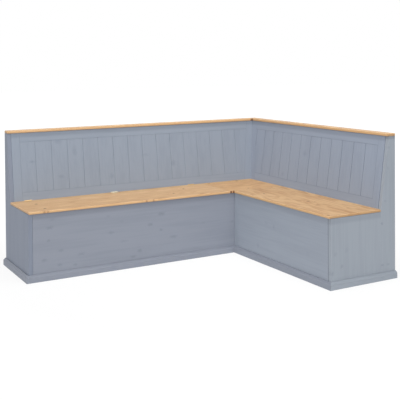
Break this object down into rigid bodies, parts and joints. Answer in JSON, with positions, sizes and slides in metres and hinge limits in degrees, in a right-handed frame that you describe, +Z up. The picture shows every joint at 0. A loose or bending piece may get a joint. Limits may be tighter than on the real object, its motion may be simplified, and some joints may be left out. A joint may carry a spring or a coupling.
{
  "type": "corner storage bench",
  "caption": "L-shaped corner bench with wooden lift-up seats over storage chests, leaning boarded backs under narrow caps, and a low plinth.",
  "frame": {"origin": "on the floor, at the middle of the bench's overall length and width", "axes": "+X along the long leg towards the corner, +Y towards the wall behind the long leg, +Z up; the short leg runs towards -Y along the +X side"},
  "size_m": [2.145, 1.695, 0.956],
  "materials": {
    "painted_pine": "satin blue-grey paint",
    "oiled_pine": "oiled, satin",
    "bare_pine": "planed, unfinished",
    "brass": "polished"
  },
  "bodies": {
    "chest": {"corner_seat": "oiled_pine", "corner_seat_cleat": "bare_pine", "hinge_1_back_leaf": "brass", "hinge_1_pin": "brass", "hinge_2_back_leaf": "brass", "hinge_2_pin": "brass", "hinge_3_back_leaf": "brass", "hinge_3_pin": "brass", "inner_corner_post": "painted_pine", "left_end_board": "painted_pine", "left_end_plinth": "painted_pine", "long_back_boards_1": "painted_pine", "long_back_boards_2": "painted_pine", "long_back_boards_3": "painted_pine", "long_back_boards_4": "painted_pine", "long_back_boards_5": "painted_pine", "long_back_boards_6": "painted_pine", "long_back_boards_7": "painted_pine", "long_back_boards_8": "painted_pine", "long_back_brace_1": "bare_pine", "long_back_brace_2": "bare_pine", "long_bottom_rail": "painted_pine", "long_cap": "oiled_pine", "long_chest_back": "bare_pine", "long_chest_floor": "bare_pine", "long_corner_stile": "painted_pine", "long_end_stile": "painted_pine", "long_front_panel": "painted_pine", "long_front_plinth": "painted_pine", "long_partition": "bare_pine", "long_top_rail": "painted_pine", "right_end_board": "painted_pine", "right_end_plinth": "painted_pine", "short_back_boards_1": "painted_pine", "short_back_boards_2": "painted_pine", "short_back_boards_3": "painted_pine", "short_back_boards_4": "painted_pine", "short_back_boards_5": "painted_pine", "short_back_boards_6": "painted_pine", "short_back_brace_1": "bare_pine", "short_bottom_rail": "painted_pine", "short_cap": "oiled_pine", "short_chest_back": "bare_pine", "short_chest_floor": "bare_pine", "short_corner_stile": "painted_pine", "short_end_stile": "painted_pine", "short_front_panel": "painted_pine", "short_front_plinth": "painted_pine", "short_partition": "bare_pine", "short_top_rail": "painted_pine"},
    "long_lid": {"long_seat_lid": "oiled_pine", "long_lid_batten_1": "bare_pine", "long_lid_batten_2": "bare_pine", "hinge_1_lid_leaf": "brass", "hinge_2_lid_leaf": "brass", "hinge_3_lid_leaf": "brass"},
    "short_lid": {"short_seat_lid": "oiled_pine", "short_lid_batten_1": "bare_pine", "short_lid_batten_2": "bare_pine"}
  },
  "joints": [
    {"name": "long_lid_hinge", "type": "hinge", "parent": "chest", "child": "long_lid", "pos_m": [-0.2725, 0.717, 0.464], "axis": [-1, 0, 0], "range_deg": [0, 98]},
    {"name": "short_lid_lift", "type": "slide", "parent": "chest", "child": "short_lid", "axis": [0, 0, 1], "range_m": [0, 0.25]}
  ]
}
